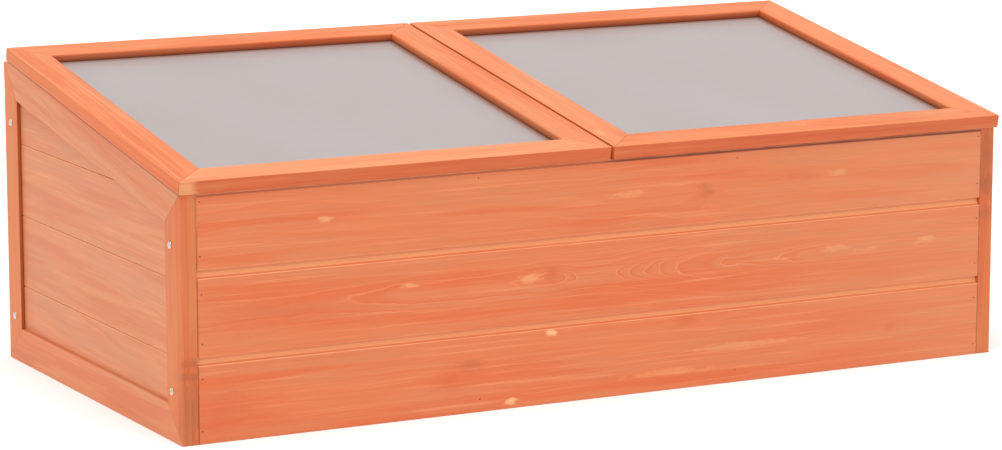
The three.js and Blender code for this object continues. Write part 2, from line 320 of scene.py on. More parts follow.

# Where the painted shadow and painted light in coves and under lids, and the stain at the ends, start
# and are full, in millimetres.
COVE_WALL = (COVE_DEPTH + 0.4, COVE_DEPTH + 0.2)
COVE_BACK_SHADOW = (COVE_DEPTH - 0.4, COVE_DEPTH - 0.1)
COVE_BACK_SHADOW_SHARE = 0.24
LIP_OUTSIDE = (0.5, 1.2)
LIP_INSIDE = (3.2, 2.2)
LID_SHADOW_SOFTNESS = 1.6
LID_SHADOW_DEPTH = (3.5, 2.0)
LID_SHADOW_MIDDLE = (-20, 20)
END_LINE = (1.6, 0.6)
RECESS_SHADE_SOFTNESS = (-1.6, -0.4)
RECESS_SHADE_START = 0.45  # in shares of the depth at which it is darkest
RECESS_SHADE_SHARE = 0.6
BARE_RAGGEDNESS = 16.0
BARE_SOFTNESS = 12
FADE_START = 0.2  # in shares of the half length
END_GRAIN_SHARE = 0.45


class Wood(Tree):
    """The nodes of one bar of wood, whose half size is in millimetres."""

    def __init__(self, name, look, half, seed):
        super().__init__(name)
        self.look = {**WOOD_DEFAULTS, **look}
        self.stain = STAINS[self.look["stain"]]
        self.half = half
        self.seed = seed
        self.mm = self.millimetres()
        self.along, self.across, self.outwards = self.split(self.mm)
        normal_along, normal_across, _ = self.split(self.coordinates("Normal"))
        self.sideways = self.remap(self.math("ABSOLUTE", normal_across), 0.55, 0.9)
        self.end_grain = self.remap(self.math("ABSOLUTE", normal_along), 0.6, 0.9)
        self.fibre = self.pattern(FIBRES, 5, detail=3, roughness=0.6)
        self.strand = self.pattern(STRANDS, 6, detail=3, roughness=0.55)

    def pattern(self, sizes, number, **settings):
        """Noise with features of these sizes, and another one for each number."""
        return self.noise(self.stretched(self.mm, sizes, self.seed + number), **settings)

    def depth(self, start, end, low=0.0, high=1.0):
        """Runs from low to high between two depths behind the seen face."""
        return self.remap(self.outwards, self.half.z - start, self.half.z - end, low, high)

    def past_edge(self, hand):
        """How far past the edge face on that hand, which is negative inside the wood."""
        return self.scaled(self.across, hand, -self.half.y)

    def radius(self):
        """Distance from the tree's centre, with the grain's waves."""
        pith_across, pith_depth = self.look["pith"]
        drift = self.product(self.along, self.look["lean"])
        sideways = self.math("SUBTRACT", self.across, pith_across)
        depth = self.math("SUBTRACT", self.outwards, pith_depth)
        depth = self.math("SUBTRACT", depth, drift)
        squares = self.product(sideways, sideways)
        squares = self.scaled(depth, depth, squares)
        radius = self.math("SQRT", squares)
        for sizes, number, detail, height in (
            (SLOW_WAVES, 0, 1.5, self.look["wander"]), (QUICK_WAVES, 1, 2, QUICK_WAVE_HEIGHT),
        ):
            wave = self.pattern(sizes, number, detail=detail)
            wave = self.scaled(wave, 2 * height, -height)
            radius = self.math("ADD", radius, wave)
        return radius

    def knot_distance(self, knot):
        """0 at the middle of a knot and 1 at its rim."""
        squares = 0.0
        for value, extent, share, size in zip(
            (self.along, self.across), (self.half.x, self.half.y), knot[:2], knot[2:4],
        ):
            away = self.scaled(value, 1 / size, -share * extent / size)
            squares = self.scaled(away, away, squares)
        return self.math("SQRT", squares)

    def bent_rings(self):
        """The radius with flames and knots in it, and each knot's distance with a ragged rim."""
        radius = self.radius()
        for start, end, rings in self.look["flames"]:
            climbed = self.remap(
                self.along, start * self.half.x, end * self.half.x, smooth=False)
            radius = self.scaled(climbed, -rings * self.look["ring"], radius)
        rims = []
        for i, knot in enumerate(self.look["knots"]):
            rim = self.knot_distance(knot)
            half_width, kind = knot[3:]
            if kind != "patch":
                bend = self.remap(rim, *KNOT_BEND_REACH, 1.0, 0.0)
                radius = self.scaled(bend, -KNOT_BEND * half_width, radius)
            smudge = self.pattern(SMUDGES, 2 + i, detail=4, roughness=0.6)
            smudge = self.scaled(smudge, 2 * KNOT_SMUDGE, -KNOT_SMUDGE)
            rims.append(self.math("ADD", rim, smudge))
        return radius, rims

    def year_rings(self, radius):
        """Each ring's late wood, the pale line at its end, and how clearly both show."""
        years = self.math("DIVIDE", radius, self.look["ring"])
        uneven = self.noise_along(self.scaled(years, 0.37, self.seed))
        years = self.scaled(uneven, RING_UNEVENNESS, years)
        season = self.math("FRACT", years)
        ended = self.remap(season, *RING_END, 1.0, 0.0)
        late = self.product(self.remap(season, *DARKENING), ended)
        line = self.product(self.remap(season, *PALE_LINE), ended)
        stretches = self.remap(self.pattern(CLEAR_STRETCHES, 4), 0.35, 0.68, 0.18, 1.0)
        year = self.noise_along(self.product(years, 0.53))
        clear = self.product(stretches, self.remap(year, 0.3, 0.7, 0.3, 1.0))
        if self.look["flames"]:
            middle = self.math("SUBTRACT", self.across, self.look["pith"][0])
            middle = self.math("ABSOLUTE", middle)
            flame = self.remap(middle, *FLAME_WIDTH, 0.0, FLAME_STRENGTH)
            clear = self.math("MAXIMUM", clear, flame)
        return late, line, self.product(clear, self.look["figure"])

    def stained(self, late, line, clear):
        """The stain's uneven uptake, in patches, in flowing bands, and by ring and strand."""
        blotch = self.pattern(BLOTCHES, 7, detail=2, roughness=0.5)
        flow = self.pattern(FLOWS, 8, detail=2)
        streaks = self.look["streaks"]
        shade = self.stain["base"]
        for tone, share in (
            ("tan", self.remap(blotch, 0.4, 0.68, 0.0, 0.95)),
            ("deep", self.remap(flow, 0.48, 0.66, 0.0, 0.9)),
            ("deep", self.product(late, clear)),
            ("pale", self.product(line, clear)),
            ("pale", self.remap(self.strand, 0.53, 0.76, 0.0, streaks)),
            ("deep", self.remap(self.strand, 0.47, 0.26, 0.0, streaks)),
        ):
            shade = self.mix(share, shade, self.stain[tone])
        return shade

    def knotted(self, shade, rims):
        for rim, knot in zip(rims, self.look["knots"]):
            halo_share, core_share, core_colour = KNOT_KINDS[knot[-1]]
            shade = self.mix(
                self.remap(rim, *KNOT_HALO, halo_share, 0.0), shade, self.stain["deep"])
            shade = self.mix(self.remap(rim, *KNOT_CORE, core_share, 0.0), shade, core_colour)
        return shade

    def weathered_and_lit(self, shade):
        """Painted highlight on the faces that see the sky, faded faces, a tint on the edge faces that
        is painted shade on the lids, and the bare patch.
        """
        washed, fade, bare_end = (self.look[key] for key in ("washed", "fade", "bare_end"))
        if washed:
            share = self.scaled(self.sideways, -washed, washed)
            shade = self.mix(share, shade, WORN_AND_HIGHLIGHT_PALE)
        if fade:
            share = self.remap(self.along, FADE_START * self.half.x, self.half.x, 0.0, fade)
            shade = self.mix(share, shade, FADED)
        # A tint on the edge faces: on the lids, painted shade that darkens the faces turned from the
        # sky.
        if self.look["edge"]:
            shade = self.mix(self.sideways, shade, self.look["edge"], "MULTIPLY")
        if bare_end:
            reach = bare_end - self.half.x
            ragged = self.scaled(self.strand, BARE_RAGGEDNESS, self.along)
            bare = self.remap(ragged, reach, reach + BARE_SOFTNESS, 0.5, 0.0)
            shade = self.mix(self.product(bare, self.sideways), shade, KNOT_PALE)
        return shade

    def lined(self, shade):
        """Painted light in coves and vees, painted shadow at a cove's back, inside its lip and under a
        lid, and the stain gathered at the ends.
        """
        look = self.look
        # Painted light that lifts the shade in the cove or vee.
        if look["hollow"]:
            inside, share, start, full = look["hollow"]
            wall = self.depth(*COVE_WALL)
            below = self.depth(start, full, 0.0, share)
            shade = self.mix(self.product(below, wall), shade, inside)
            # Painted shadow at the back of the cove, under the lip.
            back = self.depth(*COVE_BACK_SHADOW, 0.0, COVE_BACK_SHADOW_SHARE)
            shade = self.mix(self.product(back, wall), shade, STAIN_AND_SHADE_DARK)
        # Painted shadow of the lip, a darker line inside the cove.
        if look["lip"]:
            lip = self.product(
                self.depth(*LIP_OUTSIDE), self.depth(*LIP_INSIDE, 0.0, look["lip"]))
            shade = self.mix(lip, shade, self.stain["deep"])
        # Painted shadow under the lid's overhang, along the edge on that hand.
        if look["rim"]:
            hand, reach, at_start, at_end = look["rim"]
            near = self.remap(self.past_edge(hand), -reach, LID_SHADOW_SOFTNESS - reach)
            share = self.remap(self.along, *LID_SHADOW_MIDDLE, at_start, at_end)
            rim = self.product(near, self.depth(*LID_SHADOW_DEPTH), share)
            shade = self.mix(rim, shade, STAIN_AND_SHADE_DARK)
        if look["dark_ends"]:
            start, full = (self.half.x - inset for inset in END_LINE)
            tip = self.remap(self.math("ABSOLUTE", self.along), start, full)
            shade = self.mix(self.product(tip, look["dark_ends"]), shade, STAIN_AND_SHADE_DARK)
        return shade

    def worn_and_highlit(self, shade):
        """Arrises paler, worn unevenly and in part a painted highlight where they catch the light, and
        end grain, which drinks the stain.
        """
        look = self.look
        scuffs = self.remap(self.pattern(SCUFFS, 9, detail=3), 0.3, 0.65, 0.5, 1.0)
        wear_and_highlight = self.remap(self.across, -2, 2, look["arris"], look["upper_arris"])
        wear_and_highlight = self.product(wear_and_highlight, self.remap(self.along, -self.half.x, self.half.x, 1.15, 0.85))
        low = self.remap(self.outwards, -1, 1, look["low_arris"], 1.0)
        worn_and_highlit = self.product(scuffs, wear_and_highlight, self.attribute("arris"), low)
        shade = self.mix(worn_and_highlit, shade, WORN_AND_HIGHLIGHT_PALE)
        drunk = self.product(self.end_grain, END_GRAIN_SHARE)
        return self.mix(drunk, shade, self.stain["edge"])

    # Painted shade on the inner edge face of a recess, darkest deep behind the seen face.
    def recess_shade(self, shade):
        if not self.look["recess_shade"]:
            return shade
        hand, darkest = self.look["recess_shade"]
        near = self.remap(self.past_edge(hand), *RECESS_SHADE_SOFTNESS)
        low = self.depth(RECESS_SHADE_START * darkest, darkest, 0.0, RECESS_SHADE_SHARE)
        return self.mix(self.product(near, low), shade, STAIN_AND_SHADE_DARK)

    def surfaced(self, shade, late):
        """The fibres' fine shading, the sheen and the relief."""
        fine = self.scaled(self.fibre, 0.24, 0.88 + self.look["tone"])
        shade = self.mix(1.0, shade, fine, "MULTIPLY")
        rough = self.scaled(self.strand, 0.16, 0.42)
        rough = self.scaled(late, 0.06, rough)
        rough = self.scaled(self.end_grain, 0.2, rough)
        height = self.scaled(self.fibre, 0.55, self.product(late, 0.3))
        height = self.scaled(self.strand, 0.35, height)
        normal = self.bump(height, 0.35, 0.35 * MM)
        return self.finish(
            Base_Color=shade, Roughness=rough, Normal=normal, Specular_IOR_Level=0.42)


def fir(name, look, half, seed):
    """Stained fir, cut from a tree whose centre lies where the look says."""
    wood = Wood(name, look, half, seed)
    radius, rims = wood.bent_rings()
    late, line, clear = wood.year_rings(radius)
    shade = wood.stained(late, line, clear)
    shade = wood.knotted(shade, rims)
    for step in (wood.weathered_and_lit, wood.lined, wood.worn_and_highlit, wood.recess_shade):
        shade = step(shade)
    return wood.surfaced(shade, late)


# ---- Making pieces ----

SOFT_ARRIS = 2.8  # millimetres, down the front and back corners of the box
SAME_POINT = 0.01 * MM
SHORTEST_ARRIS = 3 * MM
FLAT_ANGLE = math.radians(0.5)


def placed_solid(node, axes):
    """The CAD node's solid, centred in its own axes: (bmesh, place, low corner, high corner)."""
    low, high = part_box(node)
    place = Matrix.Translation((low + high) / 2) @ axes.to_4x4()
    solid = bmesh.new()
    solid.from_mesh(frame["nodes"][node].data)
    bmesh.ops.transform(solid, matrix=place.inverted(), verts=solid.verts)
    bmesh.ops.remove_doubles(solid, verts=solid.verts, dist=SAME_POINT)
    bmesh.ops.dissolve_limit(
        solid, angle_limit=FLAT_ANGLE, verts=solid.verts, edges=solid.edges)
    corners = [[vertex.co[i] for vertex in solid.verts] for i in range(3)]
    lowest = Vector([min(c) for c in corners])
    highest = Vector([max(c) for c in corners])
    centre = (lowest + highest) / 2
    bmesh.ops.translate(solid, vec=-centre, verts=solid.verts)
    return solid, place @ Matrix.Translation(centre), lowest - centre, highest - centre


def in_scene(name, data):
    item = bpy.data.objects.new(name, data)
    bpy.context.scene.collection.objects.link(item)
    return item


def as_mesh(name, solid):
    mesh = bpy.data.meshes.new(name)
    solid.to_mesh(mesh)
    solid.free()
    return mesh


def add_piece(name, mesh, place, body, material):
    piece = in_scene(name, mesh)
    piece.matrix_world = place
    if not mesh.materials:
        mesh.materials.append(material)
    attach(piece, body)
    return piece


def add_object(name, solid, place, body, material):
    return add_piece(name, as_mesh(name, solid), place, body, material)


def gather(gathered, solid):
    """Adds the solid to the gathered ones, and frees it."""
    mesh = as_mesh("part", solid)
    gathered.from_mesh(mesh)
    bpy.data.meshes.remove(mesh)


def is_corner(edge, angle=35):
    return (
        len(edge.link_faces) == 2
        and edge.is_convex
        and edge.calc_face_angle() > math.radians(angle)
        and edge.calc_length() > SHORTEST_ARRIS
    )


def is_along(edge):
    direction = (edge.verts[0].co - edge.verts[1].co).normalized()
    return abs(direction.x) > 0.999


def is_end(face):
    return abs(face.normal.x) > 0.3


def round_edges(solid, edges, radius, segments, mark):
    made = bmesh.ops.bevel(
        solid, geom=edges, offset=radius, offset_type="OFFSET", segments=segments,
        profile=0.5, affect="EDGES", clamp_overlap=True)
    for face in made["faces"]:
        face[mark] = 1.0


def shade_smoothly(solid, angle=42):
    for face in solid.faces:
        face.smooth = True
    for edge in solid.edges:
        edge.smooth = len(edge.link_faces) == 2 and edge.calc_face_angle() < math.radians(angle)


def at_outer_corner(edge, low, high, hand):
    """True for the long edge where the seen face meets the edge face on that hand."""
    middle = (edge.verts[0].co + edge.verts[1].co) / 2
    side = high.y if hand > 0 else low.y
    return abs(middle.y - side) < MM and abs(middle.z - high.z) < MM


def timber(
    node, grain, outward, slot, look, seed, arris=1.2, end_arris=0.35, soft_corner=0, swollen=0,
):
    """A bar or board of wood in place of its CAD solid.

    soft_corner is the hand of a rounder edge, and swollen how much fuller the wood is across the
    grain, in millimetres, so that neighbouring boards nearly meet.
    """
    solid, place, low, high = placed_solid(node, axes_of(grain, outward))
    fuller = 1 + swollen * MM / (high.y - low.y)
    bmesh.ops.scale(solid, vec=(1, fuller, 1), verts=solid.verts)
    mark = solid.faces.layers.float.new("arris")
    solid.normal_update()
    long_edges = [edge for edge in solid.edges if is_corner(edge) and is_along(edge)]
    soft = [e for e in long_edges if soft_corner and at_outer_corner(e, low, high, soft_corner)]
    hard = [e for e in long_edges if e not in soft]
    round_edges(solid, hard, arris * MM, 3, mark)
    soft = [e for e in soft if e.is_valid]
    if soft:
        round_edges(solid, soft, SOFT_ARRIS * MM, 5, mark)
    solid.normal_update()
    end_edges = [
        edge for edge in solid.edges
        if len(edge.link_faces) == 2
        and is_end(edge.link_faces[0]) != is_end(edge.link_faces[1])
        and edge.is_convex
    ]
    round_edges(solid, end_edges, end_arris * MM, 2, mark)
    shade_smoothly(solid)
    material = fir(node + "_fir", look, (high - low) / 2 / MM, seed)
    body = frame["nodes"][node]["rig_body"]
    piece = add_object(node + "_timber", solid, place, body, material)
    piece.modifiers.new("flat_faces", "WEIGHTED_NORMAL").keep_sharp = True
    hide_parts(node)
    return piece


# ---- The wooden pieces ----

# The boards get painted light in their coves, a painted shadow line inside each lip and a painted
# highlight on the upper arris; dark_ends is stain gathered at the ends.
BOARD = {
    "stain": "front", "hollow": (HOLLOW_FILL_LIGHT, 0.75, 2.2, 3.8), "lip": 0.35, "arris": 0.3,
    "upper_arris": 0.65, "dark_ends": 0.6,
}
FRONT = {**BOARD, "fade": 0.45}
# The front boards, from the bottom up, with their knots placed one by one.
FRONT_LOOKS = (
    {
        **FRONT, "pith": (70, -85), "lean": 0.012, "ring": 4.6, "wander": 9, "figure": 0.4,
        "knots": (
            (-0.15, 0.6, 8, 4, "bare"), (-0.25, -0.85, 8, 5, "bare"), (-0.35, 0.05, 18, 8, "dark"),
            (-0.95, -0.3, 40, 24, "patch"), (-0.4, -0.2, 14, 8, "patch"),
            (0.2, 0.55, 16, 8, "red"), (0.35, -0.15, 80, 3.5, "soft"),
            (0.15, -0.6, 60, 3.5, "soft"), (0.75, -0.1, 9, 7, "red"),
        ),
    },
    {
        **FRONT, "pith": (-5, -22), "lean": 0.0, "ring": 2.6, "wander": 3, "figure": 1.0,
        "flames": ((-0.75, -0.5, 1.5), (0.0, 0.3, 5), (0.35, 0.5, 1)),
        "knots": (
            (-0.5, 0.1, 10, 4, "pale"), (-0.2, 0.0, 18, 6, "pale"), (-0.15, 0.05, 9, 9, "red"),
            (-0.8, -0.2, 60, 12, "patch"),
            (0.6, 0.0, 22, 5, "soft"), (0.85, 0.0, 15, 4, "pale"),
        ),
    },
    {
        # The top board has a painted shadow under the lid along its upper edge, darker towards the
        # right.
        **FRONT, "rim": (1, 5, 0.5, 0.95), "pith": (-60, -110), "lean": -0.018, "ring": 4.2,
        "wander": 10, "figure": 0.45, "streaks": 0.4,
        "knots": (
            (-0.7, 0.05, 10, 4, "pale"), (0.05, 0.0, 26, 4, "soft"), (0.25, -0.1, 12, 10, "dark"),
            (0.6, 0.1, 14, 4, "pale"), (0.5, 0.1, 30, 5, "red"),
        ),
    },
)


def scattered_knots(source, count):
    """A few small knots anywhere on a face."""
    return tuple(
        (
            source.uniform(-0.85, 0.85),
            source.uniform(-0.6, 0.6),
            source.uniform(5, 11),
            source.uniform(3, 6),
            source.choice(("pale", "pale", "red", "dark")),
        )
        for _ in range(count)
    )


def random_look(seed, stain, knots=1, figure=0.6):
    """Grain for a piece that has no look of its own."""
    source = random.Random(seed)
    return {
        "stain": stain,
        "pith": (source.uniform(-60, 60), source.uniform(-120, -45)),
        "lean": source.uniform(-0.04, 0.04),
        "ring": source.uniform(3.0, 4.6),
        "wander": source.uniform(4, 9),
        "figure": figure,
        "knots": scattered_knots(source, knots),
        "tone": source.uniform(-0.03, 0.03),
    }


BOARD_COUNT = {"front": len(FRONT_LOOKS), "back": 4, "side": 4}
BOARD_ARRISES = {"arris": 1.8, "end_arris": 0.6}
SIDE_BOARD_ARRISES = {"arris": 0.5, "swollen": 0.25}


def front_and_back():
    for i, look in enumerate(FRONT_LOOKS):
        timber(
            f"front_board_{i + 1}", ACROSS, -BACKWARDS, "board_fir", look, 11 + i,
            **BOARD_ARRISES)
    for i in range(BOARD_COUNT["back"]):
        look = {**random_look(21 + i, "front", knots=3, figure=0.7), **BOARD}
        timber(
            f"back_board_{i + 1}", -ACROSS, BACKWARDS, "board_fir", look, 21 + i,
            **BOARD_ARRISES)
    rail_look = random_look(27, "inside")
    timber("back_hinge_rail", ACROSS, -BACKWARDS, "batten_fir", rail_look, 27)
    for wall, inwards in (("front", BACKWARDS), ("back", -BACKWARDS)):
        for j, place in enumerate(("left_end", "left_mid", "right_mid", "right_end")):
            seed = (31 if wall == "front" else 41) + j
            look = random_look(seed, "inside")
            timber(f"{wall}_{place}_batten", UP, inwards, "batten_fir", look, seed)


# Knots that show in the front edges of the corner stiles.
STILE_KNOTS = {
    "left_front_stile": (
        (-0.35, -1, 6, 5, "black"), (-0.45, -1, 5, 16, "black"), (-0.75, -1, 45, 9, "black"),
    ),
    "right_front_stile": (
        (0.75, 1, 36, 12, "black"), (0.5, 1, 14, 9, "black"), (0.25, 1, 9, 7, "dark"),
    ),
}


# Each member of a side frame, with its grain and whether it stands at the front or the rear.
SIDE_MEMBERS = (
    ("bottom_rail", BACKWARDS, 0), ("top_rail", UP_THE_SLOPE, 0),
    ("front_stile", UP, -1), ("rear_stile", UP, 1),
)
# Painted light in the vees between the side boards, against their shade.
SIDE_VEE_LIGHT = (STAINS["side"]["pale"], 0.95, 0.0, 0.7)


def side_panels():
    for side, sign in SIDES.items():
        outward = sign * ACROSS
        seed = 51 if side == "left" else 71
        for i in range(BOARD_COUNT["side"]):
            look = random_look(seed + i, "side", knots=0 if side == "left" else 1, figure=0.7)
            look = {**look, "arris": 0.4, "upper_arris": 0.4, "hollow": SIDE_VEE_LIGHT}
            timber(
                f"{side}_board_{i + 1}", BACKWARDS, outward, "board_fir", look, seed + i,
                **SIDE_BOARD_ARRISES)
        for i, (member, grain, front_or_rear) in enumerate(SIDE_MEMBERS):
            node = f"{side}_{member}"
            stain = "stile" if front_or_rear else "frame"
            look = random_look(seed + 5 + i, stain, knots=0, figure=0.7)
            look = {
                **look, "edge": SIDE_EDGE, "arris": 0.15, "upper_arris": 0.15,
                "knots": STILE_KNOTS.get(node, ()),
            }
            # The rear stile's inner edge face gets painted shade.
            if member == "rear_stile":
                look["recess_shade"] = (sign, 1.5)
            # The top rail has a painted shadow line under the lid's side.
            if member == "top_rail":
                look["rim"] = (sign, 2.4, 0.95, 0.95)
            timber(
                node, grain, outward, "frame_fir", look, seed + 5 + i, arris=0.7,
                soft_corner=-sign * front_or_rear)


# Each lid member, with the hand on which its inner edge lies and the painted shade tint of its edge
# faces.
LID_MEMBERS = (
    ("front_rail", ACROSS, 1, FRONT_RAIL_EDGE_SHADE), ("rear_rail", ACROSS, -1, REAR_RAIL_EDGE_SHADE),
    ("left_stile", UP_THE_SLOPE, -1, LEFT_STILE_EDGE_SHADE),
    ("right_stile", UP_THE_SLOPE, 1, RIGHT_STILE_EDGE_SHADE),
)
# Painted highlight: how far the faces of these members that see the sky are paled towards the worn
# colour.
PAINTED_HIGHLIGHTS = {"left_lid_front_rail": 0.3, "right_lid_left_stile": 0.18, "right_lid_right_stile": 0.12}


def lid_frames():
    for lid in SIDES:
        for i, (member, grain, inner, edge_shade) in enumerate(LID_MEMBERS):
            seed = (91 if lid == "left" else 101) + i
            node = f"{lid}_lid_{member}"
            look = random_look(seed, "lid", knots=0, figure=0.6)
            # Lid members get painted shade on their inner and edge faces, and some a painted highlight
            # on the faces that see the sky.
            look = {
                **look, "edge": edge_shade, "arris": 0.15, "upper_arris": 0.15, "low_arris": 0.0,
                "recess_shade": (inner, 8.5), "streaks": 0.8, "washed": PAINTED_HIGHLIGHTS.get(node, 0.0),
            }
            if node == "left_lid_front_rail":
                look["bare_end"] = 22
            if node == "right_lid_left_stile":
                look["knots"] = ((-0.8, 0.5, 14, 6, "pale"), (-0.85, -0.5, 16, 7, "red"))
            timber(
                node, grain, OUT_OF_THE_LID, "lid_fir", look, seed, arris=1.1, end_arris=0.15)


front_and_back()
side_panels()
lid_frames()

# ---- Twin-wall sheets ----

RIB_PITCH = 6 * MM
SKIN = 0.6 * MM
HIDDEN_MARGIN = 10 * MM  # in the frame's rebate
# A band of painted shade, with a painted reflection of the wood, along the sheet's margins beside the
# frame.
SHADED_MARGIN_WIDTH = 11 * MM
MARGIN_SHADE = colour(176, 118, 92)
MARGIN_SHADE_SHARE = 0.8


def sheet_material(half):
    """Hazy polycarbonate with painted shade and a painted reflection of the wood along its margins;
    half is the sheet's half size.
    """
    tree = Tree("twin_wall_polycarbonate")
    place = tree.coordinates("Object")
    haze = tree.noise(tree.stretched(place, (0.12, 0.2, 0.12), 3), detail=3)
    dust = tree.noise(tree.stretched(place, (0.004, 0.03, 0.004), 5), detail=4, roughness=0.65)
    shade = tree.mix(haze, colour(193, 179, 176), colour(202, 191, 190))
    shade = tree.mix(tree.remap(dust, 0.5, 0.8, 0.0, 0.25), shade, colour(214, 206, 202))
    x, y, z = tree.split(place)
    ribs = tree.math("COSINE", tree.product(x, math.tau / RIB_PITCH))
    shade = tree.mix(tree.remap(ribs, 0.2, 1.0, 0.0, 0.12), shade, colour(216, 206, 204))
    margins = [
        tree.remap(
            tree.math("ABSOLUTE", value), extent - HIDDEN_MARGIN - SHADED_MARGIN_WIDTH,
            extent - HIDDEN_MARGIN, 0.0, MARGIN_SHADE_SHARE)
        for value, extent in ((x, half.x), (y, half.y))
    ]
    on_top = tree.remap(z, 0.0, half.z)
    # Painted shade and reflection along the margins, on the sheet's top face.
    margin_shade = tree.product(tree.math("MAXIMUM", *margins), on_top)
    shade = tree.mix(margin_shade, shade, MARGIN_SHADE)
    height = tree.scaled(ribs, 0.2, dust)
    rough = tree.scaled(dust, 0.14, 0.24)
    return tree.finish(
        Base_Color=shade, Roughness=rough, Normal=tree.bump(height, 0.3, 0.05 * MM),
        Transmission_Weight=0.35, IOR=1.5)


def hollow_slab(low, high):
    """Two skins joined by ribs that run the sheet's whole length, with open ends."""
    width = high.x - low.x
    cells = round(width / RIB_PITCH)
    pitch = (width - SKIN) / cells
    slab = bmesh.new()
    xs = [low.x]
    for i in range(cells):
        xs += [low.x + i * pitch + SKIN, low.x + (i + 1) * pitch]
    xs.append(high.x)
    zs = [low.z, low.z + SKIN, high.z - SKIN, high.z]

    def filled(i, k):
        inside = 0 <= i < len(xs) - 1 and 0 <= k < 3
        return inside and (k != 1 or i % 2 == 0)

    found = {}

    def corner(i, k, y):
        key = (i, k, y)
        if key not in found:
            found[key] = slab.verts.new((xs[i], y, zs[k]))
        return found[key]

    for i in range(len(xs) - 1):
        for k in range(3):
            if not filled(i, k):
                continue
            ring = ((i, k), (i + 1, k), (i + 1, k + 1), (i, k + 1))
            slab.faces.new([corner(*c, low.y) for c in ring])
            slab.faces.new([corner(*c, high.y) for c in reversed(ring)])
            for side, (di, dk) in enumerate(((0, -1), (1, 0), (0, 1), (-1, 0))):
                if not filled(i + di, k + dk):
                    a, b = ring[side], ring[(side + 1) % 4]
                    slab.faces.new([
                        corner(*b, low.y), corner(*a, low.y),
                        corner(*a, high.y), corner(*b, high.y),
                    ])
    bmesh.ops.recalc_face_normals(slab, faces=slab.faces)
    return slab


def glazing():
    material = None
    for lid in SIDES:
        node = f"{lid}_lid_glazing"
        solid, place, low, high = placed_solid(node, axes_of(ACROSS, OUT_OF_THE_LID))
        solid.free()
        material = material or sheet_material(high)
        sheet = add_object(
            f"{lid}_lid_twin_wall_sheet", hollow_slab(low, high), place,
            f"{lid}_lid", material)
        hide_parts(node)


glazing()

# ---- Metal ----


def zinc_material(name, bright, dull, roughness):
    tree = Tree(name)
    mm = tree.millimetres()
    cloud = tree.noise(tree.stretched(mm, (3, 3, 3), 2), detail=4, roughness=0.6)
    scratch = tree.noise(tree.stretched(mm, (5, 0.3, 0.3), 4), detail=3)
    shade = tree.mix(tree.remap(cloud, 0.35, 0.7), bright, dull)
    rough = tree.scaled(cloud, 0.2, roughness)
    height = tree.scaled(scratch, 0.5, cloud)
    return tree.finish(
        Base_Color=shade, Roughness=rough, Metallic=1.0, Normal=tree.bump(height, 0.2, 0.05 * MM))


ZINC = zinc_material("bright_zinc", colour(234, 228, 216), colour(186, 178, 166), 0.2)
HINGE_ZINC = zinc_material("dull_zinc", colour(206, 206, 204), colour(168, 170, 172), 0.28)
NAIL_STEEL = zinc_material("dark_steel", colour(150, 96, 70), colour(104, 68, 52), 0.5)
SIDES_OF_A_ROUND = 28


def turned(profile, sides=SIDES_OF_A_ROUND):
    """A solid of revolution about Z from (radius, height) points, first and last on the axis."""
    solid = bmesh.new()
    rings = []
    for radius, height in profile:
        if radius == 0:
            rings.append([solid.verts.new((0, 0, height))])
            continue
        turns = [math.tau * i / sides for i in range(sides)]
        rings.append([
            solid.verts.new((radius * math.cos(t), radius * math.sin(t), height)) for t in turns])
    for lower, upper in zip(rings, rings[1:]):
        for i in range(sides):
            j = (i + 1) % sides
            around = ((lower, i), (lower, j), (upper, j), (upper, i))
            corners = [ring[k % len(ring)] for ring, k in around]
            solid.faces.new(list(dict.fromkeys(corners)))
    bmesh.ops.recalc_face_normals(solid, faces=solid.faces)
    return solid


def dome(radius, height, rim, steps=8):
    """Profile points of a domed head from its rim to its top, which is at the given height."""
    return [
        (
            radius * math.cos(math.pi / 2 * i / steps),
            rim + (height - rim) * math.sin(math.pi / 2 * i / steps),
        )
        for i in range(steps)
    ] + [(0, height)]


def screw_mesh(name, head_radius, head_height, shank_radius, length, countersunk=False):
    """A screw along Z whose seat is at height 0, with a cross recess cut in its head."""
    rim = 0.25 * head_height
    seat = [(head_radius, 0)]
    if countersunk:
        seat = [(shank_radius, -(head_radius - shank_radius)), (head_radius, 0)]
    profile = [(0, -length), (0.5 * shank_radius, -length + 2.5 * shank_radius)]
    profile += [(shank_radius, -length + 5 * shank_radius), (shank_radius, -head_radius)]
    profile += seat if countersunk else [(shank_radius, 0), *seat]
    profile += dome(head_radius, head_height, rim)
    solid = turned(profile)
    shade_smoothly(solid)
    screw = as_mesh(name, solid)

    cutter_solid = bmesh.new()
    arm = (1.15 * head_radius, 0.24 * head_radius, 1.6 * head_height)
    for turn in (0, math.pi / 2):
        scale = Matrix.Diagonal((arm[0], arm[1], arm[2], 1))
        box = bmesh.ops.create_cube(cutter_solid, size=1)["verts"]
        for vertex in box:
            if vertex.co.z < 0:
                vertex.co.x *= 0.45
                vertex.co.y *= 0.6
        move = Matrix.Translation((0, 0, head_height + 0.05 * MM)) @ Matrix.Rotation(turn, 4, "Z")
        bmesh.ops.transform(cutter_solid, matrix=move @ scale, verts=box)
    blank = in_scene(name + "_blank", screw)
    cutter = in_scene(name + "_cutter", as_mesh(name + "_recess", cutter_solid))
    cut = blank.modifiers.new("recess", "BOOLEAN")
    cut.operation = "DIFFERENCE"
    cut.object = cutter
    cut.solver = "EXACT"
    cut.use_self = True
    bpy.context.view_layer.update()
    evaluated = blank.evaluated_get(bpy.context.evaluated_depsgraph_get())
    finished = bpy.data.meshes.new_from_object(evaluated)
    finished.name = name
    for helper in (blank, cutter):
        bpy.data.objects.remove(helper)
    return finished


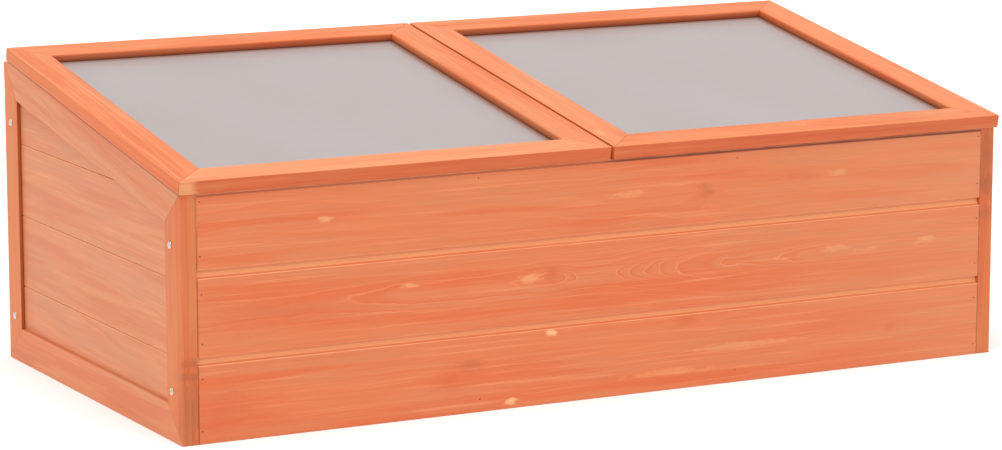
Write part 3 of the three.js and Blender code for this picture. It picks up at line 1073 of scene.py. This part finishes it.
def set_screw(name, mesh, point, outward, turn, body, material):
    """A copy of the screw seated at a point, with its cross turned."""
    side = outward.orthogonal().normalized()
    place = Matrix.Translation(point) @ axes_of(side, outward).to_4x4()
    place = place @ Matrix.Rotation(turn, 4, "Z")
    return add_piece(name, mesh, place, body, material)


PANEL_SCREW_SHANK = 1.8 * MM
PANEL_SCREW_LENGTH = 38 * MM


def panel_screws():
    """The screws through the side frames into the end battens."""
    source = random.Random(7)
    mesh = None
    for side, sign in SIDES.items():
        outward = sign * ACROSS
        for place in ("front_lower", "front_upper", "rear_lower", "rear_upper"):
            node = f"{side}_{place}_screw"
            low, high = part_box(node)
            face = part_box(f"{side}_bottom_rail")[0 if sign < 0 else 1].x
            middle = (low + high) / 2
            outermost = low.x if sign < 0 else high.x
            head_radius = (high.z - low.z) / 2
            proud = abs(outermost - face)
            mesh = mesh or screw_mesh(
                "panel_screw", head_radius, proud, PANEL_SCREW_SHANK, PANEL_SCREW_LENGTH)
            point = Vector((face, middle.y, middle.z))
            screw = set_screw(
                node + "_domed", mesh, point, outward, source.uniform(0, math.pi), "box",
                ZINC)
            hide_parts(node)


panel_screws()

# ---- Hinges ----

LEAF_THICKNESS = 1.2 * MM
LEAF_SCREW_SPREAD = 24 * MM
LEAF_SCREW_OUT = 7.2 * MM
KNUCKLE_RADIUS = 2.5 * MM
LEAF_ARRIS = 0.15 * MM
# A hinge screw's head radius and height, shank radius and length.
HINGE_SCREW = (2.9 * MM, 0.35 * MM, 1.4 * MM, 9 * MM)


def hinge_screw_places(node, outward, away):
    """Two points on a leaf's outer face, worked out from the pin's line in the record."""
    lid = node.split("_")[0]
    joint = next(j for j in frame["joints"] if j["name"] == f"{lid}_lid_hinge")
    low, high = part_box(node)
    pin = Vector(joint["pos_m"])
    pin.x = (low.x + high.x) / 2
    depth = KNUCKLE_RADIUS - LEAF_THICKNESS
    middle = pin + LEAF_SCREW_OUT * away - depth * outward
    return [middle + sign * LEAF_SCREW_SPREAD / 2 * ACROSS for sign in (-1, 1)]


def hinges():
    """The leaves with softened edges, and two countersunk screws through each."""
    source = random.Random(9)
    mesh = screw_mesh("hinge_screw", *HINGE_SCREW, countersunk=True)
    for lid in SIDES:
        for hand in SIDES:
            for leaf, outward, away in (
                ("hinge_fixed_leaf_and_pin", UP, BACKWARDS),
                ("hinge_lid_leaf", UP_THE_SLOPE, OUT_OF_THE_LID),
            ):
                node = f"{lid}_lid_{hand}_{leaf}"
                body = frame["nodes"][node]["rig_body"]
                solid, place, low, high = placed_solid(node, axes_of(ACROSS, UP))
                solid.normal_update()
                mark = solid.faces.layers.float.new("arris")
                edges = [edge for edge in solid.edges if is_corner(edge, 50)]
                round_edges(solid, edges, LEAF_ARRIS, 1, mark)
                shade_smoothly(solid)
                piece = add_object(node + "_pressed", solid, place, body, HINGE_ZINC)
                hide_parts(node)
                for i, point in enumerate(hinge_screw_places(node, outward, away)):
                    turn = source.uniform(0, math.pi)
                    set_screw(
                        f"{node}_screw_{i + 1}", mesh, point, outward, turn, body,
                        HINGE_ZINC)


hinges()

# ---- Nails in the front and back boards ----

NAIL_RADIUS = 0.9 * MM
NAIL_PROUD = 0.12 * MM
NAIL_INSET = 5 * MM
NAIL_ABOVE_JOINT = 17 * MM
NAIL_BELOW_JOINT = 26 * MM
NAIL_BELOW_RIM = 11 * MM
NAIL_ABOVE_GROUND = 14 * MM
NAIL_DEPTH = 2 * MM


def nails(wall, outward):
    """Two nails through each board at its ends, and one high and one low in each middle batten."""
    source = random.Random(13)
    head = [(0, -NAIL_DEPTH), (NAIL_RADIUS, -NAIL_DEPTH), (NAIL_RADIUS, 0)]
    head += dome(NAIL_RADIUS, NAIL_PROUD, 0.3 * NAIL_PROUD, steps=3)[1:]
    gathered = bmesh.new()
    count = BOARD_COUNT[wall]
    boards = [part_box(f"{wall}_board_{i + 1}") for i in range(count)]
    face = boards[0][0].y if wall == "front" else boards[0][1].y
    seat = face if wall == "front" else face - NAIL_PROUD  # the back face is the object's limit
    ends = (boards[0][0].x + NAIL_INSET, boards[0][1].x - NAIL_INSET)
    places = []
    for i, (low, high) in enumerate(boards):
        lower = low.z + (NAIL_ABOVE_GROUND if i == 0 else NAIL_ABOVE_JOINT)
        upper = high.z - NAIL_BELOW_RIM
        if i + 1 < count:
            upper = boards[i + 1][0].z - NAIL_BELOW_JOINT
        places += [(x, z) for x in ends for z in (lower, upper)]
    for hand in SIDES:
        low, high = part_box(f"{wall}_{hand}_mid_batten")
        middle = (low.x + high.x) / 2
        places += [(middle, NAIL_ABOVE_GROUND), (middle, boards[-1][1].z - NAIL_BELOW_RIM)]
    for x, z in places:
        point = Vector((x + source.uniform(-1, 1) * MM, seat, z + source.uniform(-2, 2) * MM))
        nail = turned(head, sides=14)
        turn = axes_of(ACROSS, outward).to_4x4()
        bmesh.ops.transform(nail, matrix=Matrix.Translation(point) @ turn, verts=nail.verts)
        gather(gathered, nail)
    shade_smoothly(gathered)
    add_object(f"{wall}_nails", gathered, Matrix.Identity(4), "box", NAIL_STEEL)


nails("front", -BACKWARDS)
nails("back", BACKWARDS)

# ---- Screws and washers that hold the sheets ----

FIXING_INSET = 5 * MM  # from the sheet's edge
FIXING_PLACES = (-0.25, 0.25)  # in shares of the sheet's width or length
FIXING_WASHER = 4.2 * MM


def sheet_fixings():
    """Washer-head screws through each sheet's margin into its rebate, seen from underneath."""
    profile = [(0, -7 * MM), (1.3 * MM, -5.5 * MM), (1.3 * MM, 0), (FIXING_WASHER, 0)]
    profile += [(FIXING_WASHER, 0.6 * MM), (2.8 * MM, 0.7 * MM)]
    profile += dome(2.6 * MM, 1.7 * MM, 0.9 * MM)
    for lid in SIDES:
        solid, place, low, high = placed_solid(
            f"{lid}_lid_glazing", axes_of(ACROSS, OUT_OF_THE_LID))
        solid.free()
        inset = FIXING_INSET * Vector((1, 1, 0))
        inner_low, inner_high = low + inset, high - inset
        spots = []
        for share in FIXING_PLACES:
            x = share * (high.x - low.x)
            y = share * (high.y - low.y)
            spots += [(x, inner_low.y), (x, inner_high.y), (inner_low.x, y), (inner_high.x, y)]
        gathered = bmesh.new()
        for x, y in spots:
            fixing = turned(profile)
            flip = Matrix.Translation((x, y, low.z)) @ Matrix.Rotation(math.pi, 4, "X")
            bmesh.ops.transform(fixing, matrix=flip, verts=fixing.verts)
            gather(gathered, fixing)
        shade_smoothly(gathered)
        add_object(f"{lid}_lid_sheet_screws", gathered, place, f"{lid}_lid", ZINC)


sheet_fixings()

# ---- Stage, light and camera ----

FLOOR_HALF_SIZE = 60
FLOOR_GAP = 0.2 * MM  # below the object's foot
SKY_STRENGTH = 0.79
SUN_ENERGY = 1.8
SUN_ANGLE = math.radians(45)
SUN_TURN = (math.radians(18), 0, math.radians(-28))
CAMERA_AZIMUTH = math.radians(-27.85)
CAMERA_ELEVATION = math.radians(10.0)
CAMERA_PLACE = (-2.109, -3.988, 0.96)
CAMERA_LENS = 132.4
CAMERA_SENSOR_WIDTH = 36
CAMERA_REACH = 200


def floor():
    solid = bmesh.new()
    bmesh.ops.create_grid(solid, x_segments=4, y_segments=4, size=FLOOR_HALF_SIZE)
    tree = Tree("pale_floor")
    cloud = tree.noise(tree.stretched(tree.coordinates("Object"), (0.6, 0.6, 0.6), 1), detail=3)
    shade = tree.mix(cloud, colour(250, 250, 250), colour(254, 254, 254))
    material = tree.finish(Base_Color=shade, Roughness=0.9, Specular_IOR_Level=0.1)
    ground = in_scene("floor", as_mesh("floor", solid))
    ground.location.z = -FLOOR_GAP
    ground.data.materials.append(material)


def light():
    world = bpy.data.worlds.new("studio")
    world.use_nodes = True
    background = world.node_tree.nodes["Background"]
    background.inputs["Color"].default_value = (1, 1, 1, 1)
    background.inputs["Strength"].default_value = SKY_STRENGTH
    bpy.context.scene.world = world
    sun = bpy.data.lights.new("key", "SUN")
    sun.energy = SUN_ENERGY
    sun.angle = SUN_ANGLE
    in_scene("key", sun).rotation_euler = SUN_TURN


def camera():
    back = Vector((
        math.sin(CAMERA_AZIMUTH) * math.cos(CAMERA_ELEVATION),
        -math.cos(CAMERA_AZIMUTH) * math.cos(CAMERA_ELEVATION),
        math.sin(CAMERA_ELEVATION),
    ))
    lens = bpy.data.cameras.new("camera")
    lens.lens = CAMERA_LENS
    lens.sensor_width = CAMERA_SENSOR_WIDTH
    lens.clip_end = CAMERA_REACH
    eye = in_scene("camera", lens)
    eye.location = CAMERA_PLACE
    eye.rotation_mode = "QUATERNION"
    eye.rotation_quaternion = (-back).to_track_quat("-Z", "Y")
    bpy.context.scene.camera = eye


floor()
light()
camera()
bpy.context.scene.view_settings.view_transform = "Standard"
